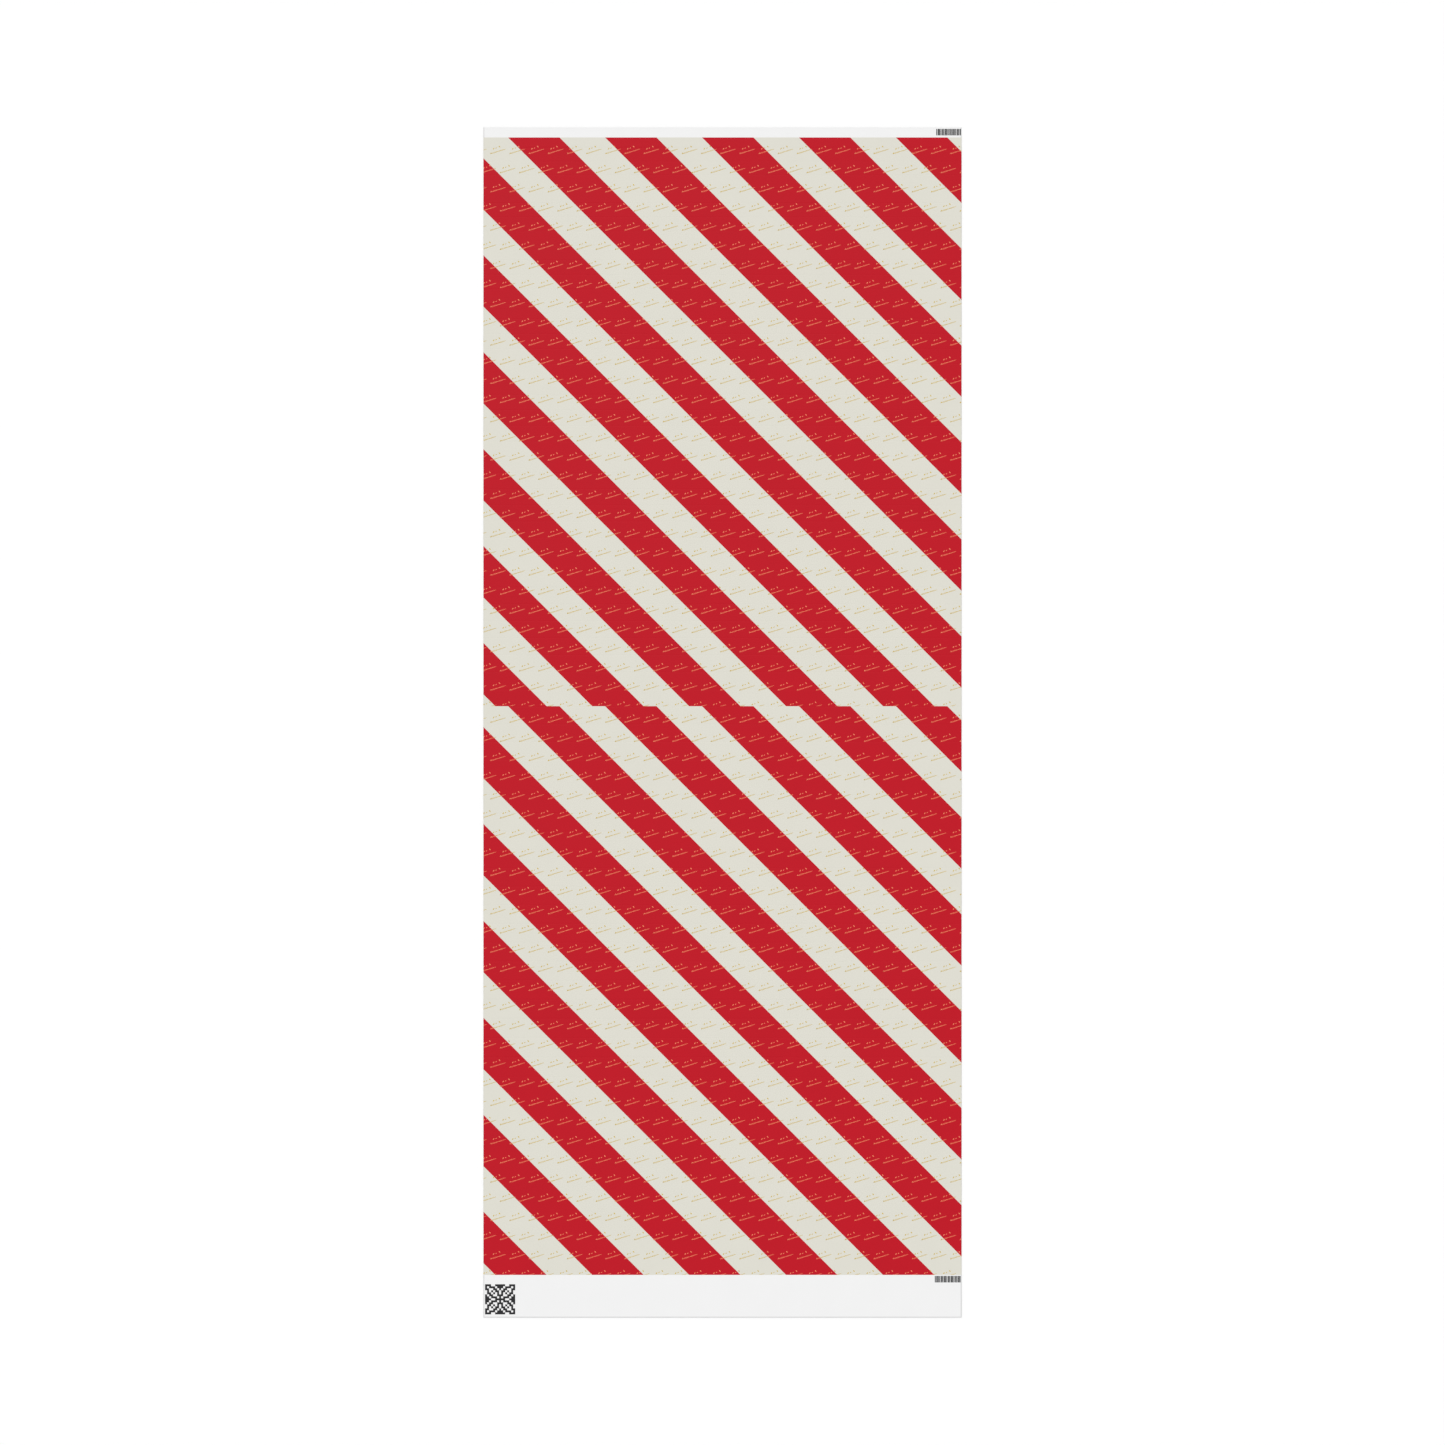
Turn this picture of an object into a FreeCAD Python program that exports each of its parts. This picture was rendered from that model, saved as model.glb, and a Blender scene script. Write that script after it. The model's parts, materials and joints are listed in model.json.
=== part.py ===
"""One sheet of wrapping paper, 762 mm wide, unrolled flat on its back with the print up.

The sheet is a single piece of 0.12 mm paper. Here it is cut straight across into bands, so that it can
be wound up again. The foot margin and the loose tail stay on the table. Each band after them turns by
the same angle about the printed edge that it shares with the one before. Because every turn has a whole
number of bands, and each band is shorter than the last by the same amount, they wind into a spiral with
the same gap from turn to turn. The gap is wide enough for the corners to clear the turn outside them at
every angle on the way.

X runs across the sheet, Y from the foot to the head, and Z up through the paper. The origin is in the
middle of the back of the flat sheet.
"""

import FreeCAD
import Part
import Sketcher

import math
import os

BAND_COUNT = 58  # bands that wind up, the head band among them
BANDS_PER_TURN = 10
BACK_PLANE = "XY_Plane"  # the plane of the paper's back
START_LENGTH = 20.0  # of an outline, before its own length is set

DRIVING = {
    "sheet_width": 762.0,  # 30 inches
    "paper_thickness": 0.12,  # 90 g/m2 stock
    "foot_margin": 68.0,  # blank strip past the print
    "head_margin": 16.0,
    "repeat_length": 906.4,  # the pattern prints twice along the sheet
    "repeat_count": 2.0,
    "tail_length": 300.0,  # what stays off the roll when it is wound up
    "turn_gap": 2.6,  # from one turn of the roll to the next
}


def band_sizes():
    """The first band's length, and how much shorter each next band is.

    A turn is a polygon with one side for each band, so a side is 2 tan(pi / sides) times the distance
    from its middle to the roll's centre.
    """
    side_per_radius = 2 * math.tan(math.pi / BANDS_PER_TURN)
    step = DRIVING["turn_gap"] * side_per_radius / BANDS_PER_TURN
    printed = DRIVING["repeat_count"] * DRIVING["repeat_length"]
    wound = printed + DRIVING["head_margin"] - DRIVING["tail_length"]
    return {
        "first_band": wound / BAND_COUNT + step * (BAND_COUNT - 1) / 2,
        "band_step": step,
    }


def fill_spreadsheet(doc):
    """Every size as a plain number in column B, under its own alias."""
    sheet = doc.addObject("Spreadsheet::Sheet", "sizes")
    for row, (alias, value) in enumerate({**DRIVING, **band_sizes()}.items(), start=1):
        sheet.set(f"A{row}", alias)
        sheet.set(f"B{row}", f"{value:.9g}")
        sheet.setAlias(f"B{row}", alias)
    doc.recompute()
    return sheet


def origin_plane(body, role):
    """The body's own origin plane with that role."""
    return next(f for f in body.Origin.OriginFeatures if f.Role == role)


def draw_outline(sketch, length):
    """A rectangle as wide as the sheet, centred on the sketch's Y axis, from its X axis upwards."""
    half = DRIVING["sheet_width"] / 2
    corners = [(-half, 0), (half, 0), (half, START_LENGTH), (-half, START_LENGTH)]
    points = [FreeCAD.Vector(x, y, 0) for x, y in corners]
    for start, end in zip(points, points[1:] + points[:1]):
        sketch.addGeometry(Part.LineSegment(start, end), False)
    foot, right, head, left = range(4)
    for line in range(4):
        sketch.addConstraint(Sketcher.Constraint("Coincident", line, 2, (line + 1) % 4, 1))
    sketch.addConstraint(Sketcher.Constraint("Horizontal", head))
    for line in (right, left):
        sketch.addConstraint(Sketcher.Constraint("Vertical", line))
    sketch.addConstraint(Sketcher.Constraint("Symmetric", foot, 1, foot, 2, -2))
    sketch.addConstraint(Sketcher.Constraint("PointOnObject", foot, 1, -1))
    across = sketch.addConstraint(Sketcher.Constraint("DistanceX", foot, 1, foot, 2, 2 * half))
    along = sketch.addConstraint(Sketcher.Constraint("DistanceY", right, 1, right, 2, START_LENGTH))
    sketch.setExpression(f"Constraints[{across}]", "sizes.sheet_width")
    sketch.setExpression(f"Constraints[{along}]", length)


def cut_band(doc, name, start, length):
    """One band of the sheet: length along Y, from start, both given as expressions on the sizes."""
    body = doc.addObject("PartDesign::Body", name)
    body.Label = name
    sketch = body.newObject("Sketcher::SketchObject", f"{name}_outline")
    sketch.AttachmentSupport = [(origin_plane(body, BACK_PLANE), "")]
    sketch.MapMode = "FlatFace"
    draw_outline(sketch, length)
    paper = body.newObject("PartDesign::Pad", f"{name}_paper")
    paper.Profile = sketch
    paper.setExpression("Length", "sizes.paper_thickness")
    body.Tip = paper
    body.setExpression("Placement.Base.y", start)
    return body


def cut_sheet(doc):
    """Every band from the foot to the head, in order."""
    foot_edge = (
        "-(sizes.foot_margin + sizes.repeat_count * sizes.repeat_length + sizes.head_margin) / 2"
    )
    print_edge = f"{foot_edge} + sizes.foot_margin"
    roll_edge = f"{print_edge} + sizes.tail_length"
    bands = [
        cut_band(doc, "foot_margin", foot_edge, "sizes.foot_margin"),
        cut_band(doc, "loose_tail", print_edge, "sizes.tail_length"),
    ]
    for before in range(BAND_COUNT):
        last = before == BAND_COUNT - 1
        name = "head_band" if last else f"roll_band_{before + 1:02d}"
        shortened = before * (before - 1) // 2
        start = f"{roll_edge} + {before} * sizes.first_band - {shortened} * sizes.band_step"
        length = f"sizes.first_band - {before} * sizes.band_step"
        bands.append(cut_band(doc, name, start, length))
    return bands


def check(doc, bands):
    """Stops the script if an object failed, or a band isn't one valid solid of the right volume."""
    for item in doc.Objects:
        if {"Invalid", "Error"} & set(item.State):
            raise RuntimeError(f"{item.Label} failed: {item.State}")
    for band in bands:
        shape = band.Shape
        if shape.isNull() or not shape.isValid() or len(shape.Solids) != 1:
            raise RuntimeError(f"{band.Label} isn't one valid solid")
    printed = DRIVING["repeat_count"] * DRIVING["repeat_length"]
    full_length = DRIVING["foot_margin"] + printed + DRIVING["head_margin"]
    wanted = DRIVING["sheet_width"] * DRIVING["paper_thickness"] * full_length
    made = sum(band.Shape.Volume for band in bands)
    if abs(made - wanted) > 1e-6 * wanted:
        raise RuntimeError(f"the bands hold {made} mm3 of paper, and the sheet holds {wanted}")
    print(f"{len(bands)} bands, {full_length:.1f} mm long, {made:.0f} mm3 of paper")


def main():
    """Builds the document and writes one STEP file for each band."""
    doc = FreeCAD.newDocument("wrapping_paper")
    fill_spreadsheet(doc)
    bands = cut_sheet(doc)
    doc.recompute()
    check(doc, bands)
    os.makedirs("parts", exist_ok=True)
    for band in bands:
        band.Shape.exportStep(f"parts/{band.Label}.step")


main()
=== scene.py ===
"""A sheet of striped gift wrap, unrolled flat on a pale studio floor with its print up.

The sheet is one piece of paper. Its frame is cut straight across into bands that wind up about the printed
edges between them, so the paper here is made in sections that each reach from the middle of one band to
the middle of the next.
Neighbouring sections meet where a thin tongue of each lies inside the other. The stripes are cut into the
paper's own faces, and the gold flourishes and the black trim marks are thin films of ink on them, so every
edge of the print is a real one.
"""

import json
import logging
import math
from dataclasses import dataclass
from enum import Enum, IntEnum
from typing import Iterable, Iterator

import bmesh
import bpy
from mathutils import Matrix, Vector

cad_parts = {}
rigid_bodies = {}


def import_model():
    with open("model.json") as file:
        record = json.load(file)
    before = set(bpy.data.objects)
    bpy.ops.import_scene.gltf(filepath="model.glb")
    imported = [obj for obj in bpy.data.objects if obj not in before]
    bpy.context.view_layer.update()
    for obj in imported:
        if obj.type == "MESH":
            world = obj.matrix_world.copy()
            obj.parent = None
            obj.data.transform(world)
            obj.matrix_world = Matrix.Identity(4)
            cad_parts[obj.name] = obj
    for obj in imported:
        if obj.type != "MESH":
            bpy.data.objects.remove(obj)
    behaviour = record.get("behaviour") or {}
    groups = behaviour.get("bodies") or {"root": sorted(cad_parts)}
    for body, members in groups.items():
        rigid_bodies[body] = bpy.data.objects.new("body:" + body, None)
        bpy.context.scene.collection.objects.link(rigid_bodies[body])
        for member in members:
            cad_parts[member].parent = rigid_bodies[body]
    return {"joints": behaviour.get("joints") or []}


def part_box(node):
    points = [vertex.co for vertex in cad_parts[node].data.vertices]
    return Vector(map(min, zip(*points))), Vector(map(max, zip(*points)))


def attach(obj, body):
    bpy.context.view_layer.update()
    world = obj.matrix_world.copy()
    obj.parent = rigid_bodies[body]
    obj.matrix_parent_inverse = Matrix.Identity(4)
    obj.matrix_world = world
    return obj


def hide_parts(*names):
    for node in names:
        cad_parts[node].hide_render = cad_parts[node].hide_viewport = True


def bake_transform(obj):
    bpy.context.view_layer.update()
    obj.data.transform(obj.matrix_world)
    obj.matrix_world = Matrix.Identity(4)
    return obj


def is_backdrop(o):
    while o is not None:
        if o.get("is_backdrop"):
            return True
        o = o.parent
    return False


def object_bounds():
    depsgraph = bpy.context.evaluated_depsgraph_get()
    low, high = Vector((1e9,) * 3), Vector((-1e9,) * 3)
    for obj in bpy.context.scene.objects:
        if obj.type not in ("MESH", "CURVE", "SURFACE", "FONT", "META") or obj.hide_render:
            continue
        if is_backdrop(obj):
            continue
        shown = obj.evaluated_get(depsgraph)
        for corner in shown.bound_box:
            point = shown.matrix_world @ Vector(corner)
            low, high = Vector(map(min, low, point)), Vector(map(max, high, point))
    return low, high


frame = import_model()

MM = 0.001
CUT_SLACK = 1e-7  # metres within which a point counts as on a cut
LAY_MAP = "paper_lay"  # the UV map that holds each point's place on the flat sheet, in metres
log = logging.getLogger("wrapping_paper")


# ---------------------------------------------------------------------------------------------------
# Shader maths
# ---------------------------------------------------------------------------------------------------


class Signal:
    """One output socket of a material's nodes, with the arithmetic that is done on it."""

    def __init__(self, bench: "NodeBench", socket: bpy.types.NodeSocket) -> None:
        """Holds the socket.

        Args:
            bench: the material's workbench, which adds the Math nodes.
            socket: the output socket.
        """
        self.bench = bench
        self.socket = socket

    def _math(self, operation: str, *values: "Signal | float") -> "Signal":
        """A Math node on the values, in order."""
        return self.bench.node(
            "ShaderNodeMath", {"operation": operation}, dict(enumerate(values))
        )

    def __add__(self, other: "Signal | float") -> "Signal":
        """self + other."""
        return self._math("ADD", self, other)

    def __sub__(self, other: "Signal | float") -> "Signal":
        """self - other."""
        return self._math("SUBTRACT", self, other)

    def __rsub__(self, other: float) -> "Signal":
        """other - self."""
        return self._math("SUBTRACT", other, self)

    def __mul__(self, other: "Signal | float") -> "Signal":
        """self * other."""
        return self._math("MULTIPLY", self, other)

    def __mod__(self, other: float) -> "Signal":
        """What is left of self after whole steps of other, never negative."""
        return self._math("FLOORED_MODULO", self, other)

    def __abs__(self) -> "Signal":
        """How far self is from 0."""
        return self._math("ABSOLUTE", self)

    def below(self, other: float) -> "Signal":
        """1 where self is less than other, and 0 elsewhere."""
        return self._math("LESS_THAN", self, other)

    __radd__ = __add__
    __rmul__ = __mul__


class NodeBench:
    """A node tree to work on, and the one way that nodes are added to it."""

    def __init__(self, tree: bpy.types.NodeTree) -> None:
        """Holds the tree.

        Args:
            tree: a material's or a world's node tree.
        """
        self.tree = tree

    def node(
        self,
        kind: str,
        settings: dict[str, object] | None = None,
        inputs: dict[str | int, "Signal | object"] | None = None,
        output: str | int = 0,
    ) -> Signal:
        """Adds one node.

        Args:
            kind: the node's type.
            settings: its own properties, set first.
            inputs: a value or a Signal for each named or numbered socket.
            output: the socket that is given back.

        Returns:
            The output as a Signal.
        """
        made = self.tree.nodes.new(kind)
        for key, value in (settings or {}).items():
            setattr(made, key, value)
        for key, value in (inputs or {}).items():
            self.feed(made.inputs[key], value)
        return Signal(self, made.outputs[output])

    def feed(self, socket: bpy.types.NodeSocket, value: "Signal | object") -> None:
        """Links a Signal to a socket, or sets a plain value on it."""
        if isinstance(value, Signal):
            self.tree.links.new(value.socket, socket)
        else:
            socket.default_value = value

    def axis(self, vector: Signal, name: str) -> Signal:
        """One component, X, Y or Z, of a vector."""
        return self.node("ShaderNodeSeparateXYZ", None, {0: vector}, name)


class ShaderBench(NodeBench):
    """A new material, its nodes, and the Principled shader that finishes it."""

    def __init__(self, name: str) -> None:
        """Starts the material.

        Args:
            name: the material's name.
        """
        self.material = bpy.data.materials.new(name)
        self.material.use_nodes = True
        super().__init__(self.material.node_tree)
        self.tree.nodes.clear()
        self.shader = self.tree.nodes.new("ShaderNodeBsdfPrincipled")
        output = self.tree.nodes.new("ShaderNodeOutputMaterial")
        self.tree.links.new(self.shader.outputs["BSDF"], output.inputs["Surface"])

    def lay(self) -> Signal:
        """The point's place on the flat sheet, in metres."""
        return self.node("ShaderNodeUVMap", {"uv_map": LAY_MAP}, output="UV")

    def noise(self, size: float, detail: float = 2.0, rough: float = 0.5) -> Signal:
        """Noise on the flat sheet.

        Args:
            size: about how wide its spots are, in metres.
            detail: how many finer layers it has.
            rough: how strong each finer layer is.

        Returns:
            A value from 0 to 1.
        """
        return self.node(
            "ShaderNodeTexNoise",
            {"noise_dimensions": "2D"},
            {"Vector": self.lay(), "Scale": 1.0 / size, "Detail": detail, "Roughness": rough},
            "Fac",
        )

    def blend(self, factor: Signal, low: "Colour | Signal", high: "Colour | Signal") -> Signal:
        """A colour between two others.

        Args:
            factor: 0 for low, and 1 for high.
            low: one colour.
            high: the other.

        Returns:
            The blended colour.
        """
        low, high = (end.rgba() if isinstance(end, Colour) else end for end in (low, high))
        return self.node(
            "ShaderNodeMix", {"data_type": "RGBA"}, {0: factor, 6: low, 7: high}, 2
        )


# ---------------------------------------------------------------------------------------------------
# Finishes
# ---------------------------------------------------------------------------------------------------


@dataclass(frozen=True)
class Colour:
    """A colour as it looks in even light, in display values from 0 to 255."""

    red: float
    green: float
    blue: float

    def rgba(self) -> tuple[float, float, float, float]:
        """The colour as linear values with full alpha."""
        linear = [
            v / 12.92 if v <= 0.04045 else ((v + 0.055) / 1.055) ** 2.4
            for v in (c / 255 for c in (self.red, self.green, self.blue))
        ]
        return (*linear, 1.0)

    def scaled(self, factor: float) -> "Colour":
        """The colour with every value multiplied, and held within range."""
        return Colour(*(min(255.0, c * factor) for c in (self.red, self.green, self.blue)))


@dataclass(frozen=True)
class PaperFinish:
    """Gift-wrap paper, bare or under ink: its colour, its cloudy formation, its fibres, its shine, and a
    painted shade line along the sheet's sides and foot.
    """

    name: str
    colour: Colour
    cloud: float  # how far the tone swings over a few centimetres
    fibre: float  # how far it swings from fibre to fibre
    fibre_height: float  # of the fibres under a fingertip, in metres
    roughness: float
    sheen_swing: float  # how far the roughness swings
    specular: float
    coat: float = 0.0
    edge_shade_tone: float = 0.98  # of the painted shade line along the sheet's sides and foot, against the rest
    ghost: float = 0.0  # how strongly the red bands show through from the other side

    # width of the painted shade line along the sides and the foot
    EDGE_SHADE_LINE = 1.3 * MM
    GHOST_COLOUR = Colour(214, 150, 150)
    CLOUD_SIZE = 0.045
    FIBRE_SIZE = 0.0011
    GRAIN_SIZE = 0.0004
    FIBRE_SHARE = 0.7  # of the bump; the finer grain is the rest
    COAT_ROUGHNESS = 0.35

    def make(self, outline: "Outline", stripes: "StripePattern") -> bpy.types.Material:
        """Builds the material.

        Args:
            outline: the sheet's cut edges, for the painted shade line along them.
            stripes: the red bands, for what shows through.

        Returns:
            The finished material.
        """
        bench = ShaderBench(self.name)
        cloud = bench.noise(self.CLOUD_SIZE, detail=3.0)
        fibre = bench.noise(self.FIBRE_SIZE, detail=2.0, rough=0.6)
        grain = bench.noise(self.GRAIN_SIZE, detail=1.0)
        swing = self.cloud + self.fibre
        share = self.cloud / swing
        tone = cloud * share + fibre * (1.0 - share)
        shader = bench.shader.inputs
        paper = bench.blend(tone, self.colour.scaled(1 - swing), self.colour.scaled(1 + swing))
        # painted shade: the paper is darkened in a thin line along the sides and the foot
        edge = outline.edge_shade_mask(bench, self.EDGE_SHADE_LINE)
        paper = bench.blend(edge, paper, self.colour.scaled(self.edge_shade_tone))
        if self.ghost:
            paper = bench.blend(stripes.show_through(bench) * self.ghost, paper, self.GHOST_COLOUR)
        bench.feed(shader["Base Color"], paper)
        sheen = (cloud - 0.5) * self.sheen_swing + (fibre - 0.5) * self.sheen_swing
        bench.feed(shader["Roughness"], sheen + self.roughness)
        height = fibre * self.FIBRE_SHARE + grain * (1 - self.FIBRE_SHARE)
        bench.feed(
            shader["Normal"],
            bench.node(
                "ShaderNodeBump",
                None,
                {"Height": height, "Distance": self.fibre_height, "Strength": 1.0},
                "Normal",
            ),
        )
        shader["Specular IOR Level"].default_value = self.specular
        shader["Coat Weight"].default_value = self.coat
        shader["Coat Roughness"].default_value = self.COAT_ROUGHNESS
        return bench.material


@dataclass(frozen=True)
class GoldInk:
    """Printed gold, which lets a little of the ink under it show: yellow on cream, orange on red."""

    name: str
    on_cream: tuple[Colour, Colour]  # its darkest and lightest flecks
    on_red: tuple[Colour, Colour]
    roughness: float

    FLECK_SIZE = 0.0035
    FLECK_SHINE = 0.12  # how much rougher the lightest fleck is
    SPECULAR = 0.3

    def make(self, stripes: "StripePattern") -> bpy.types.Material:
        """Builds the material.

        Args:
            stripes: what the gold is printed on.

        Returns:
            The finished material.
        """
        bench = ShaderBench(self.name)
        fleck = bench.noise(self.FLECK_SIZE, detail=2.0)
        cream, red = bench.blend(fleck, *self.on_cream), bench.blend(fleck, *self.on_red)
        shader = bench.shader.inputs
        bench.feed(shader["Base Color"], bench.blend(stripes.red_mask(bench), cream, red))
        bench.feed(shader["Roughness"], fleck * self.FLECK_SHINE + self.roughness)
        shader["Specular IOR Level"].default_value = self.SPECULAR
        return bench.material


class Face(IntEnum):
    """The material slots of a section of paper."""

    CREAM = 0
    RED = 1
    BARE = 2
    BACK = 3
    GOLD = 4
    BLACK = 5


class Finishes:
    """Every material of the sheet, in the order of its slots."""

    def __init__(self, outline: "Outline", stripes: "StripePattern") -> None:
        """Builds the six materials.

        Args:
            outline: the sheet's cut edges.
            stripes: the pattern that the gold is printed on.
        """
        ink = {"roughness": 0.5, "sheen_swing": 0.08, "specular": 0.15, "coat": 0.02}
        recipes = {
            Face.CREAM: PaperFinish(
                "cream_ink",
                Colour(218, 216, 205),
                cloud=0.006,
                fibre=0.006,
                fibre_height=0.012 * MM,
                **ink,
            ),
            Face.RED: PaperFinish(
                "red_ink",
                Colour(187, 9, 30),
                cloud=0.012,
                fibre=0.014,
                fibre_height=0.012 * MM,
                **ink,
            ),
            Face.BARE: PaperFinish(
                "bare_paper",
                Colour(237, 237, 237),
                cloud=0.004,
                fibre=0.006,
                fibre_height=0.02 * MM,
                roughness=0.75,
                sheen_swing=0.06,
                specular=0.2,
                # the bare margins take the darkest painted shade line along their edges
                edge_shade_tone=0.88,
            ),
            Face.BACK: PaperFinish(
                "paper_back",
                Colour(235, 235, 233),
                cloud=0.008,
                fibre=0.01,
                fibre_height=0.025 * MM,
                roughness=0.85,
                sheen_swing=0.05,
                specular=0.2,
                ghost=0.09,
            ),
            Face.BLACK: PaperFinish(
                "black_ink",
                Colour(38, 38, 40),
                cloud=0.02,
                fibre=0.03,
                fibre_height=0.01 * MM,
                roughness=0.6,
                sheen_swing=0.06,
                specular=0.2,
            ),
        }
        gold = GoldInk(
            "gold_ink",
            on_cream=(Colour(190, 155, 0), Colour(210, 178, 6)),
            on_red=(Colour(233, 122, 84), Colour(248, 143, 108)),
            roughness=0.38,
        )
        self.materials = [
            gold.make(stripes) if face is Face.GOLD else recipes[face].make(outline, stripes)
            for face in Face
        ]

    def dress(self, mesh: bpy.types.Mesh) -> None:
        """Gives a mesh every slot, in order."""
        for material in self.materials:
            mesh.materials.append(material)


# ---------------------------------------------------------------------------------------------------
# The print
# ---------------------------------------------------------------------------------------------------


@dataclass(frozen=True)
class Outline:
    """The sheet's right and foot edges, in metres. Its left edge mirrors its right one."""

    right: float
    foot: float

    def edge_shade_mask(self, bench: ShaderBench, line: float) -> Signal:
        """1 on a painted shade line along the sides and the foot, and 0 inside it.

        Args:
            bench: the material's workbench.
            line: the line's width.

        Returns:
            The mask.
        """
        place = bench.lay()
        across = abs(bench.axis(place, "X")).below(self.right - line)
        along = (0.0 - bench.axis(place, "Y")).below(-self.foot - line)
        return 1.0 - across * along


@dataclass(frozen=True)
class Repeat:
    """One repeat of the printed pattern, from its head edge down to its foot edge, in metres."""

    top: float
    bottom: float


@dataclass
class StripePattern:
    """Red bands at 45 degrees on cream, which run down to the right and restart at each repeat.

    Widths are measured straight across the sheet, along X.
    """

    sheet_left: float
    print_top: float
    print_foot: float
    repeat_length: float
    period: float = 154.5 * MM
    red_width: float = 81.9 * MM
    first_red: float = 39.4 * MM  # from the sheet's left edge, at the top of a repeat

    def is_red(self, x: float, y: float, repeat: Repeat) -> bool:
        """Whether a point of the repeat is on a red band.

        Args:
            x: its place across the sheet.
            y: its place along the sheet.
            repeat: the repeat.

        Returns:
            True on red, and False on cream.
        """
        across = x - self.sheet_left - (repeat.top - y) - self.first_red
        return across % self.period < self.red_width

    def red_mask(self, bench: ShaderBench) -> Signal:
        """The same rule in a material's nodes.

        Args:
            bench: the material's workbench.

        Returns:
            1 over a red band, and 0 over cream.
        """
        place = bench.lay()
        depth = (self.print_top - bench.axis(place, "Y")) % self.repeat_length
        across = bench.axis(place, "X") - depth - (self.sheet_left + self.first_red)
        return (across % self.period).below(self.red_width)

    def show_through(self, bench: ShaderBench) -> Signal:
        """Where a red band is printed on the paper's other side.

        Args:
            bench: the material's workbench.

        Returns:
            1 behind a red band, and 0 elsewhere.
        """
        height = bench.axis(bench.lay(), "Y")
        printed = height.below(self.print_top) - height.below(self.print_foot)
        return self.red_mask(bench) * printed

    def edges(self, right: float, low: float, high: float, repeat: Repeat) -> Iterator[Vector]:
        """A point on each edge between red and cream that crosses a strip of the sheet.

        Args:
            right: the sheet's right edge.
            low: the strip's edge nearest the foot.
            high: the strip's edge nearest the head.
            repeat: the repeat that the strip is in.

        Yields:
            Points at the height of the repeat's top. Each edge runs through its point at 45 degrees.
        """
        nearest = self.sheet_left - (repeat.top - low)
        furthest = right - (repeat.top - high)
        start = self.sheet_left + self.first_red
        count = math.floor((nearest - start) / self.period) - 1
        while start + count * self.period < furthest + (repeat.top - low):
            for offset in (0.0, self.red_width):
                yield Vector((start + count * self.period + offset, repeat.top, 0.0))
            count += 1


@dataclass(frozen=True)
class Leaf:
    """A small pointed leaf of the flourish. Lengths in metres, from the motif's middle."""

    across: float
    up: float
    length: float
    width: float
    turn: float  # degrees


@dataclass
class Flourish:
    """The gold motif: a slender twisted ribbon that rises to the right, and a few leaves over it."""

    left: float = -11.6 * MM
    right: float = 13.4 * MM
    low: float = -5.5 * MM  # of the ribbon's left end, from the motif's middle
    high: float = 2.25 * MM
    strand: float = 0.48 * MM  # of each of its two strands, at the widest
    taper: float = 0.38  # how much of that width is lost towards both ends
    thinning: float = 0.15  # how much more is lost at the right end than at the left
    twist: float = 0.62 * MM  # how far the strands part on each side
    calming: float = 0.25  # how much less they part at the right end
    pieces: int = 6
    under: float = 0.008 * MM  # one strand lies this much lower where the two cross
    leaves: tuple[Leaf, ...] = (
        Leaf(-6.1 * MM, 2.6 * MM, 3.3 * MM, 1.5 * MM, 52.0),
        Leaf(-2.1 * MM, 3.7 * MM, 2.7 * MM, 1.1 * MM, 38.0),
        Leaf(3.25 * MM, 6.05 * MM, 3.4 * MM, 1.6 * MM, -48.0),
        Leaf(-10.3 * MM, -4.6 * MM, 2.9 * MM, 1.1 * MM, 70.0),
    )

    def template(self) -> bpy.types.Mesh:
        """One motif as flat faces about the origin.

        Returns:
            A mesh to copy.
        """
        bm = bmesh.new()
        self._strand(bm, 1, 0.0)
        self._strand(bm, -1, -self.under)
        for leaf in self.leaves:
            self._leaf(bm, leaf)
        mesh = bpy.data.meshes.new("flourish")
        bm.to_mesh(mesh)
        bm.free()
        return mesh

    def _strand(self, bm: bmesh.types.BMesh, side: int, height: float) -> None:
        """One strand of the ribbon, a strip that tapers to its ends and winds round the other.

        Args:
            bm: the motif.
            side: 1 or -1, the way that it parts first.
            height: of its face.
        """
        made = bmesh.ops.create_grid(bm, x_segments=self.pieces, y_segments=1, size=1.0)
        for vert in made["verts"]:
            along, edge = vert.co.x, vert.co.y
            swell = 1 - self.taper + self.taper * math.cos(along * math.pi / 2)
            width = self.strand * swell * (1 - self.thinning * along)
            part = side * self.twist * math.sin(math.pi * along) * (1 - self.calming * along)
            x = self.left + (along + 1) / 2 * (self.right - self.left)
            line = self.low + (along + 1) / 2 * (self.high - self.low)
            vert.co = (x, line + part + edge * width / 2, height)

    def _leaf(self, bm: bmesh.types.BMesh, leaf: Leaf) -> None:
        """Adds one flat leaf.

        Args:
            bm: the motif.
            leaf: the leaf's place and size.
        """
        verts = bmesh.ops.create_circle(bm, cap_ends=True, segments=6, radius=0.5)["verts"]
        bmesh.ops.scale(bm, verts=verts, vec=(leaf.length, leaf.width, 1.0))
        turn = Matrix.Rotation(math.radians(leaf.turn), 3, "Z")
        bmesh.ops.rotate(bm, verts=verts, cent=(0, 0, 0), matrix=turn)
        bmesh.ops.translate(bm, verts=verts, vec=(leaf.across, leaf.up, 0.0))


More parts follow.
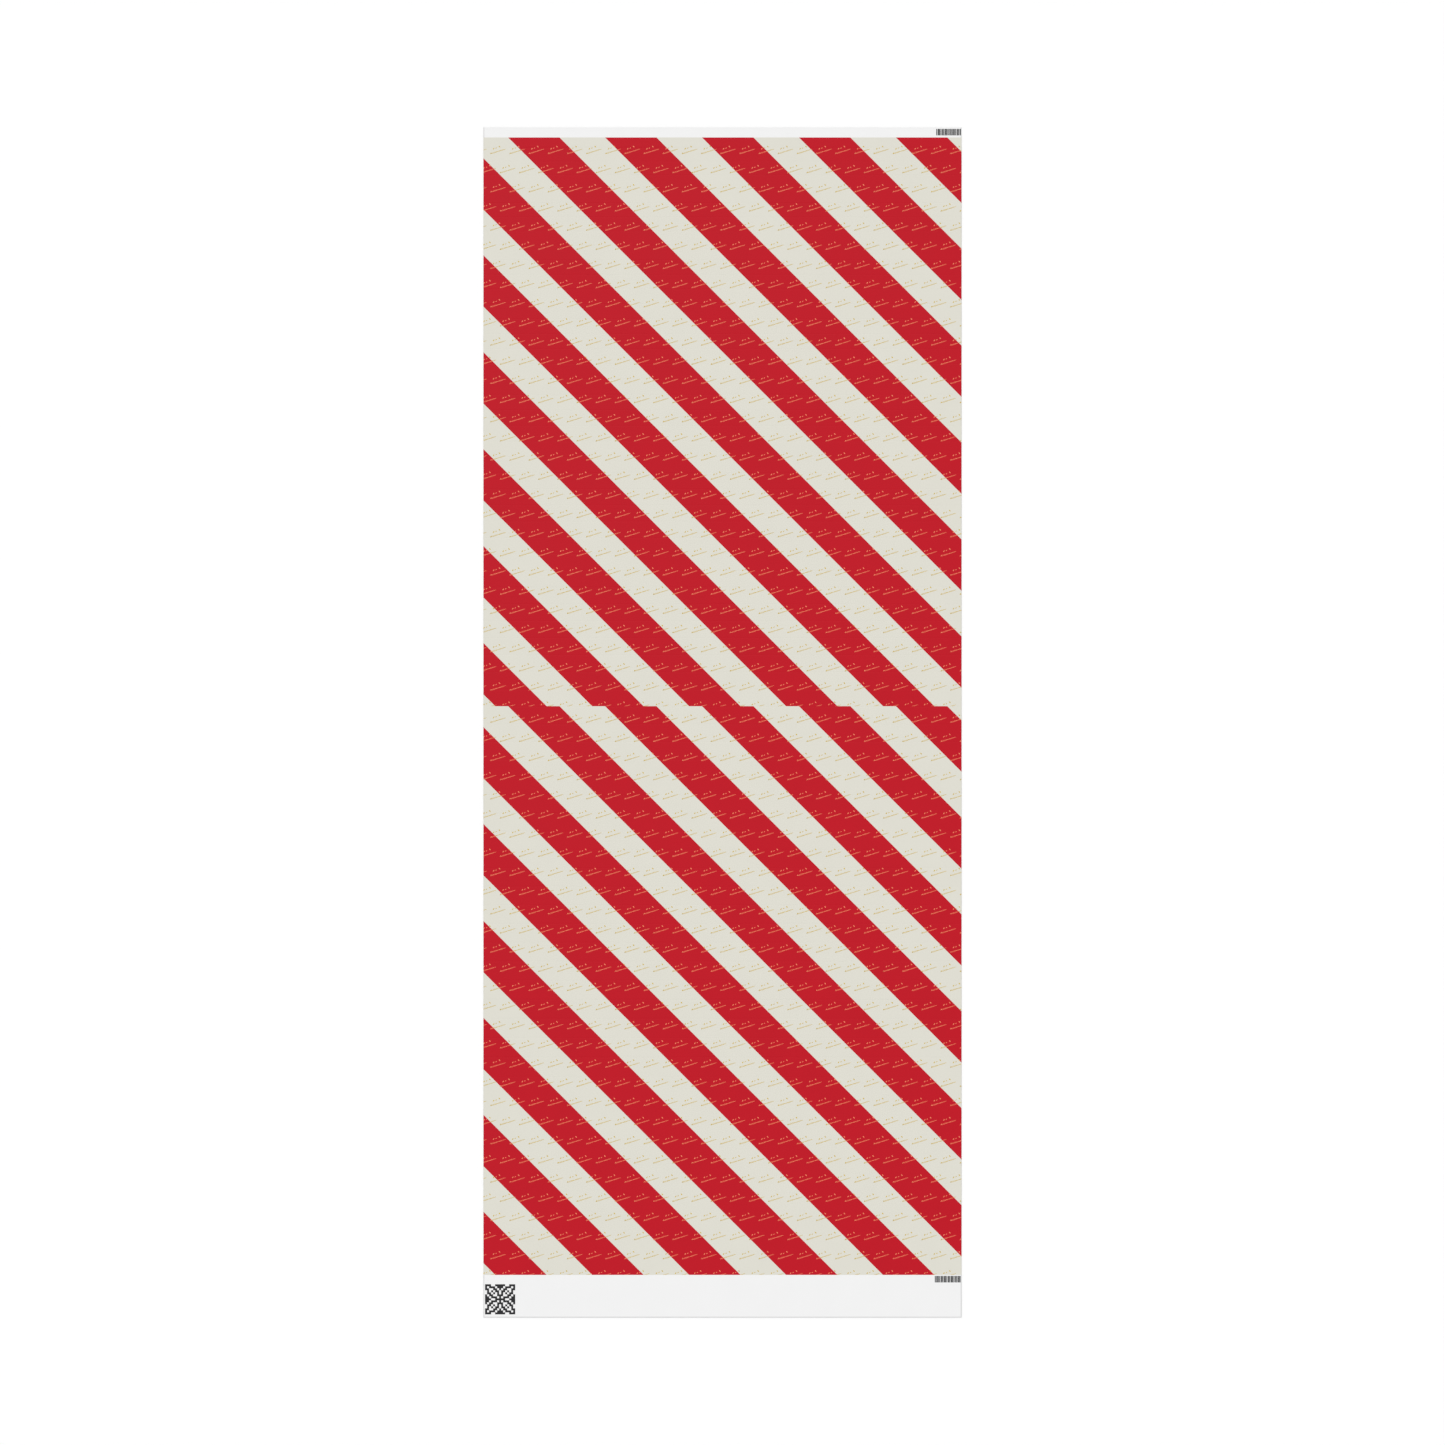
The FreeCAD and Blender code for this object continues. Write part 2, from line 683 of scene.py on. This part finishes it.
@dataclass
class FlourishGrid:
    """Where the flourishes stand: square pitch, with every other row moved half a pitch across."""

    sheet_left: float
    sheet_right: float
    pitch: float = 30.54 * MM
    first_row: float = 20.6 * MM  # below the top of a repeat
    first_column: float = 22.3 * MM  # from the left edge, on the first row

    def places(self, low: float, high: float, reach: float, repeat: Repeat) -> Iterator[Vector]:
        """The centres of the motifs of a repeat that come within reach of a strip.

        Args:
            low: the strip's edge nearest the foot.
            high: the strip's edge nearest the head.
            reach: half a motif's size.
            repeat: the repeat.

        Yields:
            Motif centres.
        """
        rows = math.ceil((repeat.top - repeat.bottom) / self.pitch) + 1
        for row in range(rows):
            y = repeat.top - self.first_row - row * self.pitch
            if not low - reach < y < high + reach:
                continue
            x = self.sheet_left + self.first_column - (row % 2) * self.pitch / 2 - self.pitch
            while x < self.sheet_right + reach:
                yield Vector((x, y, 0.0))
                x += self.pitch


@dataclass(frozen=True)
class Block:
    """A rectangle of ink, in metres."""

    left: float
    right: float
    low: float
    high: float
    rows: int = 1  # of faces, where the paper under it bends


@dataclass
class TrimMarks:
    """The black marks on the blank margins: a square patch of cells, and two strips of bars."""

    left: float
    right: float
    foot: float
    head: float
    print_foot: float
    cells: int = 15
    patch: float = 48.0 * MM
    patch_inset: float = 2.6 * MM  # from the left edge
    patch_rise: float = 5.1 * MM  # from the foot edge
    ripple: int = 7  # the step of the rule that fills the cells
    filled: tuple[int, ...] = (0, 1, 4, 6)  # what the rule may leave over in a black cell
    bar_pitch: float = 2.3 * MM
    bar_height: float = 10.4 * MM
    bar_shares: tuple[float, ...] = (0.64, 0.86, 0.72, 0.6, 0.82)  # of the pitch, by turns
    bar_rows: int = 5
    foot_strip: tuple[float, float] = (42.6 * MM, 1.0 * MM)  # its two ends, from the right edge
    foot_drop: float = 12.0 * MM  # of its lower edge, below the print
    head_strip: tuple[float, float] = (40.3 * MM, 0.9 * MM)
    head_drop: float = 12.7 * MM  # of its lower edge, below the head edge

    def blocks(self) -> Iterator[Block]:
        """Every block of black ink.

        Yields:
            The blocks of the patch, then those of the two strips.
        """
        yield from self._patch(self.left + self.patch_inset, self.foot + self.patch_rise)
        for ends, low in (
            (self.foot_strip, self.print_foot - self.foot_drop),
            (self.head_strip, self.head - self.head_drop),
        ):
            yield from self._bars(self.right - ends[0], self.right - ends[1], low)

    def _patch(self, left: float, low: float) -> Iterator[Block]:
        """A square of cells, the same in all four quarters, so that it says nothing.

        Args:
            left: its left edge.
            low: its lower edge.

        Yields:
            The black cells.
        """
        cell = self.patch / self.cells
        middle = self.cells // 2
        for row in range(self.cells):
            for column in range(self.cells):
                across, up = abs(column - middle), abs(row - middle)
                rule = across * across + up * up + across * up
                if rule % self.ripple in self.filled:
                    x, y = left + column * cell, low + row * cell
                    yield Block(x, x + cell, y, y + cell)

    def _bars(self, left: float, right: float, low: float) -> Iterator[Block]:
        """Upright bars of a few widths by turns.

        Args:
            left: where the strip starts.
            right: where it ends.
            low: its lower edge.

        Yields:
            The bars.
        """
        count = round((right - left) / self.bar_pitch)
        pitch = (right - left) / count
        for bar in range(count):
            width = pitch * self.bar_shares[bar % len(self.bar_shares)]
            x = left + bar * pitch
            yield Block(x, x + width, low, low + self.bar_height, rows=self.bar_rows)


# ---------------------------------------------------------------------------------------------------
# The paper
# ---------------------------------------------------------------------------------------------------


class Hold(Enum):
    """How a section of the paper follows the frame."""

    FLAT = "rides on one body"
    BENT = "bends between two bodies"


@dataclass
class Section:
    """One stretch of the paper, from low to high along Y."""

    name: str
    low: float
    high: float
    hold: Hold
    bodies: tuple[str, ...]
    nodes: tuple[str, ...]
    slot: str = "printed_paper"
    rows: int = 1
    turn_from: float = 0.0  # where the bend of a bent section starts and ends
    turn_to: float = 0.0
    lap_low: float = 0.0  # how far a thin tongue passes each end, inside the next section
    lap_high: float = 0.0


@dataclass
class RoundBend:
    """Where each bend starts and ends, so that the wound sheet comes out round.

    A bend turns by the smooth step 3t^2 - 2t^3 as t goes from 0 at its start to 1 at its end. A bend that
    starts and ends on its own section would leave each band's middle flat. Each one reaches further, so at
    the shared edge of two sections both are already part of the way, by the same amount, and the band's
    middle bows out to the circle. The first edge lies on the table and stays flat.
    """

    steady: float = (12 - math.sqrt(48)) / 16  # of t at a shared edge: the sheet then has no crease there
    settle: float = 0.22  # how much of the first edge's difference is left at each edge after it

    def lead(self, edge: int) -> float:
        """The value of t at an edge where a section starts, counted from the flat end."""
        return self.steady * (1 - (-self.settle) ** edge)

    def reach(self, edge: int, low: float, high: float) -> tuple[float, float]:
        """The start and end of the bend of one section.

        Args:
            edge: the number of its lower edge.
            low: the lower edge.
            high: the upper edge.

        Returns:
            Both places along Y.
        """
        start, end = self.lead(edge), 1 - self.lead(edge + 1)
        span = (high - low) / (end - start)
        return low - start * span, high + (1 - end) * span

    def lap(self, edge: int, band: float, angle: float) -> float:
        """How far two sections pass their shared edge, since a bowed band is longer than a straight one.

        Args:
            edge: the number of the edge.
            band: the length of the band that it is the middle of.
            angle: the most that a hinge turns.

        Returns:
            The extra length of each section.
        """
        lead = self.lead(edge)
        turned = (3 - 2 * lead) * lead * lead * angle
        return band * (1 - math.cos(turned)) / 2


@dataclass
class Sheet:
    """The whole sheet: its outline from the frame, its sections, and what is printed on it."""

    head_margin: float = 16.0 * MM
    repeats: int = 2
    film: float = 0.04 * MM  # how proud the ink of a flourish or a mark stands
    rooted: float = 0.02 * MM  # how deep it reaches into the paper
    rows: int = 12  # of each bent section
    tongue_root: float = 0.001 * MM  # what lies further than this past a section's end is its tongue

    def __post_init__(self) -> None:
        """Reads the outline from the frame and lays out the print."""
        low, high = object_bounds()
        self.left, self.right = low.x, high.x
        self.foot, self.head = low.y, high.y
        self.thickness = high.z - low.z
        self.print_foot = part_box("foot_margin")[1].y
        top = self.head - self.head_margin
        length = (top - self.print_foot) / self.repeats
        self.tiles = [Repeat(top - i * length, top - (i + 1) * length) for i in range(self.repeats)]
        self.stripes = StripePattern(self.left, top, self.print_foot, length)
        self.finishes = Finishes(Outline(self.right, self.foot), self.stripes)
        self.grid = FlourishGrid(self.left, self.right)
        self.flourish = Flourish()
        self.motif = self.flourish.template()
        self.marks = list(
            TrimMarks(self.left, self.right, self.foot, self.head, self.print_foot).blocks()
        )

    def sections(self) -> list[Section]:
        """The paper from foot to head, cut at the middle of every band.

        Returns:
            The foot margin, the loose tail, and a bent section for each hinge.
        """
        joints = sorted(frame["joints"], key=lambda joint: joint["pos_m"][1])
        boxes = [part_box(joint["child"]) for joint in joints]
        lengths = [high.y - low.y for low, high in boxes]
        middles = [(low.y + high.y) / 2 for low, high in boxes]
        edges = [2 * boxes[0][0].y - middles[0], *middles]
        root = joints[0]["parent"]
        made = [
            Section(
                "foot_margin_paper",
                self.foot,
                self.print_foot,
                Hold.FLAT,
                (root,),
                ("foot_margin",),
                slot="blank_paper",
            ),
            Section(
                "loose_tail_paper", self.print_foot, edges[0], Hold.FLAT, (root,), ("loose_tail",)
            ),
        ]
        bend = RoundBend()
        angle = math.radians(max(joints[0]["range_deg"]))
        for number, joint in enumerate(joints):
            low, high = edges[number], edges[number + 1]
            turn_from, turn_to = bend.reach(number, low, high)
            last = number + 1 == len(joints)
            made.append(
                Section(
                    f"bend_paper_{number + 1:02d}",
                    low,
                    self.head if last else high,
                    Hold.BENT,
                    (joint["parent"], joint["child"]),
                    (joint["child"],),
                    rows=self.rows,
                    turn_from=turn_from,
                    turn_to=turn_to,
                    lap_low=bend.lap(number, lengths[max(0, number - 1)], angle),
                    lap_high=0.0 if last else bend.lap(number + 1, lengths[number], angle),
                )
            )
        return made

    def build(self) -> list[bpy.types.Object]:
        """Makes every section.

        Returns:
            The pieces, from foot to head.
        """
        return [self.build_section(section) for section in self.sections()]

    def build_section(self, section: Section) -> bpy.types.Object:
        """Args:
            section: the section.

        Returns:
            Its object.
        """
        bm = self.cut_paper(section)
        self.print_films(bm, section)
        self.map_lay(bm)
        mesh = bpy.data.meshes.new(section.name)
        bm.to_mesh(mesh)
        bm.free()
        self.finishes.dress(mesh)
        piece = bpy.data.objects.new(section.name, mesh)
        bpy.context.scene.collection.objects.link(piece)
        if section.hold is Hold.FLAT:
            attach(piece, section.bodies[0])
        else:
            start, end = ((0, y, self.thickness) for y in (section.turn_from, section.turn_to))
            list(section.bodies)
            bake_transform(piece)
            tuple(start)
            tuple(end)
        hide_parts(*section.nodes)
        self.right - self.left
        section.high - section.low
        return piece

    def cut_paper(self, section: Section) -> bmesh.types.BMesh:
        """The paper of a section: its printed face cut along the stripes, its back and its edges.

        Args:
            section: the section.

        Returns:
            A closed slab with a material on every face.
        """
        bm = bmesh.new()
        low, high = section.low - section.lap_low, section.high + section.lap_high
        bmesh.ops.create_grid(bm, x_segments=1, y_segments=section.rows, size=0.5)
        bmesh.ops.scale(bm, verts=bm.verts, vec=(self.right - self.left, high - low, 1.0))
        middle = Vector(((self.left + self.right) / 2, (low + high) / 2, self.thickness))
        bmesh.ops.translate(bm, verts=bm.verts, vec=middle)
        limits = {t.top for t in self.tiles} | {t.bottom for t in self.tiles}
        for limit in sorted(limits | {section.low, section.high}):
            if low < limit < high:
                self._slice(bm, list(bm.faces), Vector((0, limit, 0)), Vector((0, 1, 0)))
        for tile in self.tiles:
            self._cut_stripes(bm, low, high, tile)
        for face in bm.faces:
            face.material_index = self._face_under(face.calc_center_median())
            face.smooth = True
        self._give_back(bm)
        self._thin_laps(bm, section)
        return bm

    def _thin_laps(self, bm: bmesh.types.BMesh, section: Section) -> None:
        """Halves the thickness at the tips of the two tongues, so that they hide in their neighbours.

        Args:
            bm: the section's paper.
            section: the section.
        """
        low, high = section.low - self.tongue_root, section.high + self.tongue_root
        beyond = [v for v in bm.verts if not low < v.co.y < high]
        middle = Matrix.Translation((0, 0, -self.thickness / 2))
        bmesh.ops.scale(bm, verts=beyond, vec=(1.0, 1.0, 0.5), space=middle)

    def _slice(
        self,
        bm: bmesh.types.BMesh,
        faces: Iterable[bmesh.types.BMFace],
        point: Vector,
        normal: Vector,
    ) -> None:
        """Cuts faces along a plane.

        Args:
            bm: the paper.
            faces: what is cut.
            point: a point of the plane.
            normal: its normal.
        """
        faces = list(faces)
        edges = dict.fromkeys(e for f in faces for e in f.edges)
        verts = dict.fromkeys(v for f in faces for v in f.verts)
        geometry = [*faces, *edges, *verts]
        bmesh.ops.bisect_plane(bm, geom=geometry, dist=CUT_SLACK, plane_co=point, plane_no=normal)

    def _cut_stripes(self, bm: bmesh.types.BMesh, low: float, high: float, tile: Repeat) -> None:
        """Cuts a repeat's faces along the edges of its stripes.

        Args:
            bm: the paper.
            low: where the cutting starts, along Y.
            high: where it ends.
            tile: the repeat.
        """
        low, high = max(low, tile.bottom), min(high, tile.top)
        if low >= high:
            return
        slope = Vector((1, 1, 0)).normalized()
        for point in self.stripes.edges(self.right, low, high, tile):
            inside = [f for f in bm.faces if low < f.calc_center_median().y < high]
            self._slice(bm, inside, point, slope)

    def _face_under(self, point: Vector) -> Face:
        """The ink, or the bare paper, at a point of the printed side.

        Args:
            point: the point.

        Returns:
            The slot of its material.
        """
        for tile in self.tiles:
            if tile.bottom < point.y < tile.top:
                return Face.RED if self.stripes.is_red(point.x, point.y, tile) else Face.CREAM
        return Face.BARE

    def _give_back(self, bm: bmesh.types.BMesh) -> None:
        """Copies the printed side down as the blank back, and walls the gap with a sharp rim.

        Args:
            bm: the printed side, which becomes a closed slab.
        """
        bmesh.ops.recalc_face_normals(bm, faces=bm.faces)
        if bm.faces[0].normal.z < 0:
            bmesh.ops.reverse_faces(bm, faces=bm.faces)
        made = bmesh.ops.duplicate(bm, geom=[*bm.verts, *bm.edges, *bm.faces])["geom"]
        back = [f for f in made if isinstance(f, bmesh.types.BMFace)]
        lower = [v for v in made if isinstance(v, bmesh.types.BMVert)]
        bmesh.ops.translate(bm, verts=lower, vec=(0, 0, -self.thickness))
        bmesh.ops.reverse_faces(bm, faces=back)
        rims = [e for e in bm.edges if e.is_boundary]
        walls = bmesh.ops.bridge_loops(bm, edges=rims)["faces"]
        for face in back:
            face.material_index = Face.BACK
        for face in walls:
            face.material_index = Face.BARE
            face.smooth = False
        for edge in rims:
            edge.smooth = False

    def print_films(self, bm: bmesh.types.BMesh, section: Section) -> None:
        """Adds the gold flourishes and the black marks of a section as closed films of ink.

        Args:
            bm: the section's paper.
            section: the section.
        """
        films = bmesh.new()
        reach = self.flourish.right
        for tile in self.tiles:
            low, high = max(section.low, tile.bottom), min(section.high, tile.top)
            if low >= high:
                continue
            patch = bmesh.new()
            for place in self.grid.places(low, high, reach, tile):
                patch.verts.ensure_lookup_table()
                before = len(patch.verts)
                patch.from_mesh(self.motif)
                patch.verts.ensure_lookup_table()
                bmesh.ops.translate(patch, verts=patch.verts[before:], vec=place)
            self._trim(patch, low, high)
            self._pour(patch, films, Face.GOLD)
        patch = bmesh.new()
        for block in self.marks:
            if block.low < section.high and block.high > section.low:
                made = bmesh.ops.create_grid(patch, x_segments=1, y_segments=block.rows, size=0.5)
                verts = made["verts"]
                size = (block.right - block.left, block.high - block.low, 1.0)
                bmesh.ops.scale(patch, verts=verts, vec=size)
                centre = ((block.left + block.right) / 2, (block.low + block.high) / 2, 0.0)
                bmesh.ops.translate(patch, verts=verts, vec=centre)
        self._trim(patch, section.low, section.high)
        self._pour(patch, films, Face.BLACK)
        holder = bpy.data.meshes.new("films")
        films.to_mesh(holder)
        films.free()
        bm.from_mesh(holder)
        bpy.data.meshes.remove(holder)

    def _trim(self, patch: bmesh.types.BMesh, low: float, high: float) -> None:
        """Cuts off what is past the sheet's sides or past a strip.

        Args:
            patch: flat shapes of ink.
            low: the strip's edge nearest the foot.
            high: the strip's edge nearest the head.
        """
        for point, normal in (
            ((self.left, 0, 0), (-1, 0, 0)),
            ((self.right, 0, 0), (1, 0, 0)),
            ((0, low, 0), (0, -1, 0)),
            ((0, high, 0), (0, 1, 0)),
        ):
            bmesh.ops.bisect_plane(
                patch,
                geom=[*patch.verts, *patch.edges, *patch.faces],
                dist=CUT_SLACK,
                plane_co=point,
                plane_no=normal,
                clear_outer=True,
            )

    def _pour(self, patch: bmesh.types.BMesh, films: bmesh.types.BMesh, ink: Face) -> None:
        """Gives flat shapes a film's thickness and adds them to the films.

        Args:
            patch: the flat shapes, which are freed.
            films: the closed films so far.
            ink: the slot of their material.
        """
        if patch.faces:
            bmesh.ops.recalc_face_normals(patch, faces=patch.faces)
            under = [f for f in patch.faces if f.normal.z < 0]
            bmesh.ops.reverse_faces(patch, faces=under)
            top = self.thickness + self.film
            bmesh.ops.translate(patch, verts=patch.verts, vec=(0, 0, top))
            raised = bmesh.ops.extrude_face_region(patch, geom=list(patch.faces), use_keep_orig=True)
            sunk = [v for v in raised["geom"] if isinstance(v, bmesh.types.BMVert)]
            bmesh.ops.translate(patch, verts=sunk, vec=(0, 0, -self.film - self.rooted))
            bmesh.ops.recalc_face_normals(patch, faces=patch.faces)
            for face in patch.faces:
                face.material_index = ink
            holder = bpy.data.meshes.new("patch")
            patch.to_mesh(holder)
            films.from_mesh(holder)
            bpy.data.meshes.remove(holder)
        patch.free()

    def map_lay(self, bm: bmesh.types.BMesh) -> None:
        """Writes each point's place on the flat sheet into the UV map, for the grain and the tone."""
        lay = bm.loops.layers.uv.new(LAY_MAP)
        for face in bm.faces:
            for loop in face.loops:
                loop[lay].uv = loop.vert.co.xy


# ---------------------------------------------------------------------------------------------------
# The studio
# ---------------------------------------------------------------------------------------------------


@dataclass
class Studio:
    """A pale floor, soft light from above, and a camera that looks straight down on the sheet."""

    sheet_width: float
    sheet_share: float = 0.33087  # of the picture's width
    lens: float = 100.0
    sensor: float = 36.0
    floor_size: float = 60.0
    floor_drop: float = 0.5 * MM  # below the sheet, so that the first bend clears it
    floor_tone: float = 0.96
    floor_roughness: float = 0.9
    floor_specular: float = 0.2
    glow: float = 1.0  # strength of the surround along the horizon
    sky: float = 0.68  # and overhead
    glow_top: float = 0.12  # heights, from 0 to 1, between which one fades into the other
    sky_from: float = 0.6
    sun: float = 1.2
    sun_angle: float = math.radians(40)
    sun_turn: tuple[float, float, float] = (math.radians(-22), math.radians(-24), 0.0)

    def build(self) -> None:
        """Makes the floor, the lights and the camera."""
        self._floor()
        self._light()
        self._camera()

    def _floor(self) -> None:
        """A plain floor just under the sheet."""
        bm = bmesh.new()
        bmesh.ops.create_grid(bm, x_segments=1, y_segments=1, size=self.floor_size / 2)
        bmesh.ops.translate(bm, verts=bm.verts, vec=(0, 0, -self.floor_drop))
        mesh = bpy.data.meshes.new("studio_floor")
        bm.to_mesh(mesh)
        bm.free()
        bench = ShaderBench("studio_floor")
        shader = bench.shader.inputs
        shader["Base Color"].default_value = (*[self.floor_tone] * 3, 1.0)
        shader["Roughness"].default_value = self.floor_roughness
        shader["Specular IOR Level"].default_value = self.floor_specular
        mesh.materials.append(bench.material)
        floor = bpy.data.objects.new("studio_floor", mesh)
        bpy.context.scene.collection.objects.link(floor)
        floor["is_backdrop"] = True

    def _light(self) -> None:
        """A soft white surround that is brightest along the horizon, and one broad lamp above."""
        world = bpy.data.worlds.new("studio")
        world.use_nodes = True
        bench = NodeBench(world.node_tree)
        way = bench.node("ShaderNodeTexCoord", output="Generated")
        height = bench.axis(way, "Z")
        glow = bench.node(
            "ShaderNodeMapRange",
            {"interpolation_type": "SMOOTHSTEP"},
            {
                "Value": height,
                "From Min": self.glow_top,
                "From Max": self.sky_from,
                "To Min": self.glow,
                "To Max": self.sky,
            },
        )
        surround = world.node_tree.nodes["Background"].inputs
        surround["Color"].default_value = (1, 1, 1, 1)
        bench.feed(surround["Strength"], glow)
        bpy.context.scene.world = world
        lamp = bpy.data.lights.new("soft_lamp", "SUN")
        lamp.energy = self.sun
        lamp.angle = self.sun_angle
        soft = bpy.data.objects.new("soft_lamp", lamp)
        soft.rotation_euler = self.sun_turn
        bpy.context.scene.collection.objects.link(soft)
        bpy.context.scene.view_settings.view_transform = "Standard"

    def _camera(self) -> None:
        """Straight above the middle of the sheet, with the head edge up."""
        data = bpy.data.cameras.new("camera")
        data.lens = self.lens
        data.sensor_width = self.sensor
        camera = bpy.data.objects.new("camera", data)
        across = self.sheet_width / self.sheet_share
        camera.location = (0, 0, across * self.lens / self.sensor)
        bpy.context.scene.collection.objects.link(camera)
        bpy.context.scene.camera = camera


def main() -> None:
    """Builds the sheet and the studio round the frame."""
    logging.basicConfig(level=logging.INFO, format="%(name)s: %(message)s")
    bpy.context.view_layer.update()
    sheet = Sheet()
    Studio(sheet.right - sheet.left).build()
    for piece in sheet.build():
        log.info("%s: %d faces", piece.name, len(piece.data.polygons))


if __name__ == "__main__":
    main()
